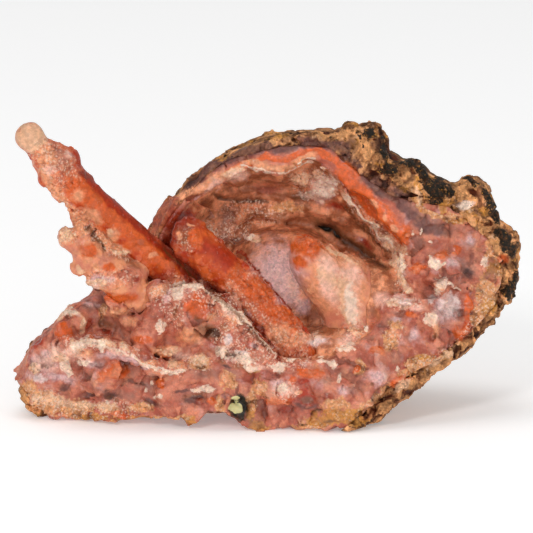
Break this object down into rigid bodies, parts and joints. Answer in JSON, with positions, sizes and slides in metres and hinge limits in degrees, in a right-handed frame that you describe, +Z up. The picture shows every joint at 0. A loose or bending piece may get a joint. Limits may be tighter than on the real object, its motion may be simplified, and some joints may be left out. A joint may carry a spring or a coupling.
{
  "type": "chalcedony stalactite specimen",
  "caption": "Broken geode fragment of orange-red and pink chalcedony on ochre host rock, with stalactites growing out of its open pocket.",
  "frame": {"origin": "in the broken flat underside on which the specimen stands", "axes": "+X to the right of the open side along the longest extent, -Y out of the open pocket, +Z up"},
  "size_m": [0.1112, 0.0513, 0.0669],
  "materials": {
    "host_rock": "matt weathered volcanic rock, ochre with brown and black patches",
    "chalcedony": "waxy translucent chalcedony with sugary druse and white crust",
    "stalactite_orange": "waxy orange-red chalcedony with a fine druse",
    "stalactite_pale": "sugary peach druse over orange chalcedony"
  },
  "bodies": {
    "root": {"host_rock": "host_rock", "chalcedony_body": "chalcedony", "stalactite_long": "stalactite_orange", "stalactite_small": "stalactite_pale", "stalactite_middle": "stalactite_orange", "stalactite_stub": "stalactite_pale"}
  },
  "joints": []
}
